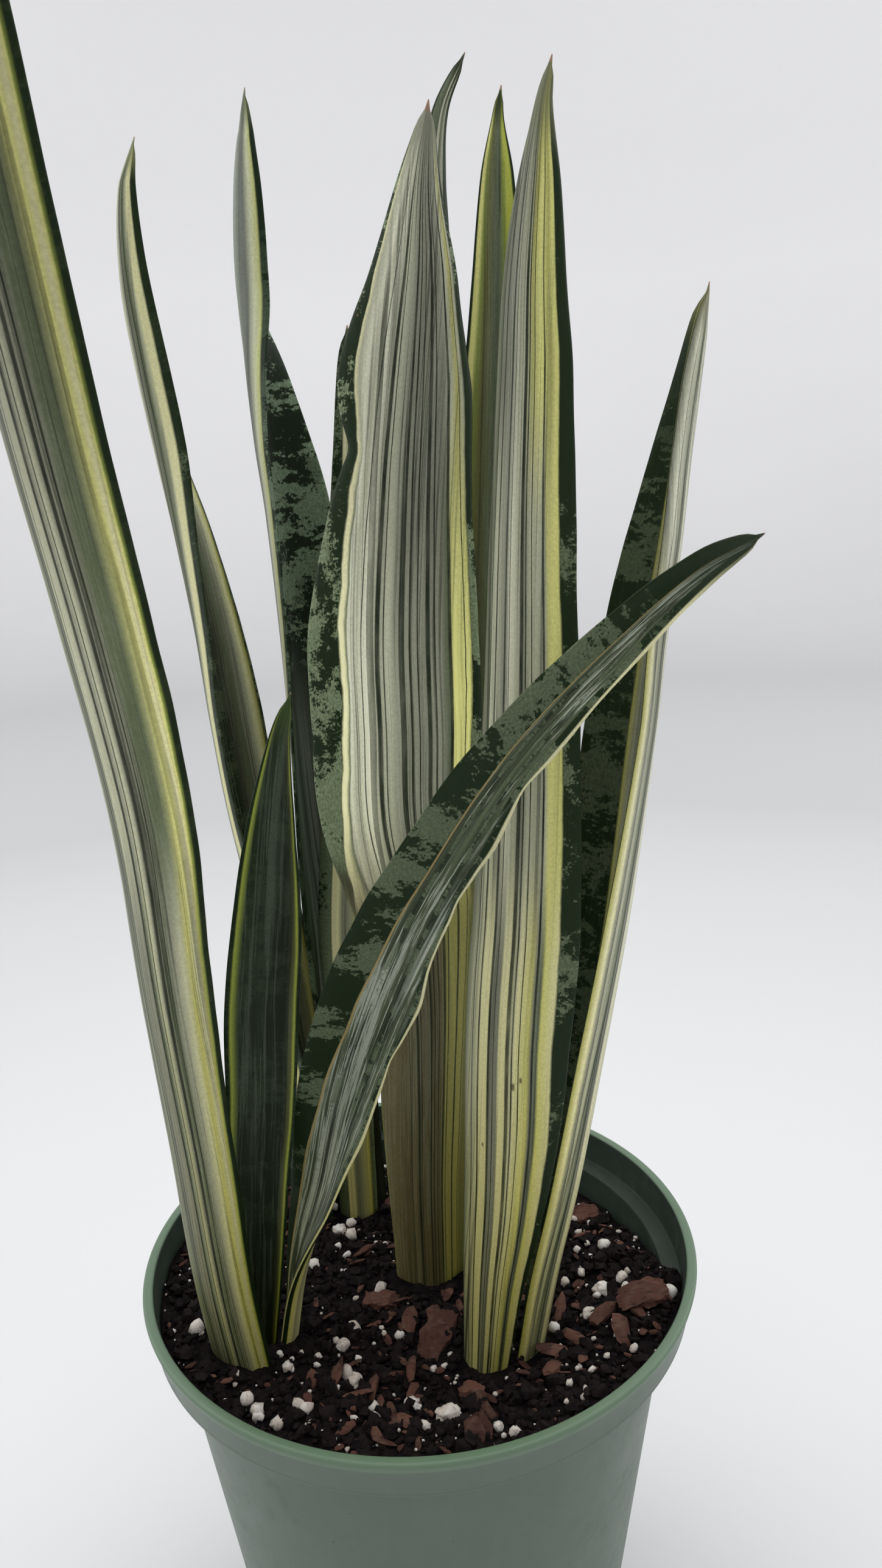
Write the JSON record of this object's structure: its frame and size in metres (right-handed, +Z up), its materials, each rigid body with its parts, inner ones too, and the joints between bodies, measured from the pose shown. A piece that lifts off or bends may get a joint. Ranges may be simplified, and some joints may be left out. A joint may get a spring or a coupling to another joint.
{
  "type": "potted snake plant",
  "caption": "Snake plant with upright white-striped leaves, edged in mottled dark green, growing in a round green plastic nursery pot of bark and perlite mix.",
  "frame": {"origin": "centre of the pot's underside, on the surface it stands on", "axes": "+Z up along the pot's axis, -Y towards the side the plant is seen from, +X to the right of that side"},
  "size_m": [0.171, 0.2196, 0.5005],
  "materials": {
    "pot_plastic": "satin",
    "potting_mix": "matte",
    "leaf": "satin",
    "bark": "matte",
    "perlite": "matte"
  },
  "bodies": {
    "root": {"pot": "pot_plastic", "soil": "potting_mix", "leaf_front_left_tall": "leaf", "leaf_front_left_small": "leaf", "leaf_leaning_right": "leaf", "leaf_back_left_outer": "leaf", "leaf_back_left_inner": "leaf", "leaf_back_small": "leaf", "leaf_centre_broad": "leaf", "leaf_centre_back": "leaf", "leaf_back_curved": "leaf", "leaf_front_right_tall": "leaf", "leaf_right_folded": "leaf", "bark_rim_right": "bark", "bark_centre": "bark", "bark_middle_left": "bark", "bark_front": "bark", "bark_back_right": "bark", "bark_curl": "bark", "perlite_front": "perlite", "perlite_front_left": "perlite", "perlite_right": "perlite", "perlite_right_near": "perlite", "perlite_left": "perlite", "perlite_back_left": "perlite"}
  },
  "joints": []
}
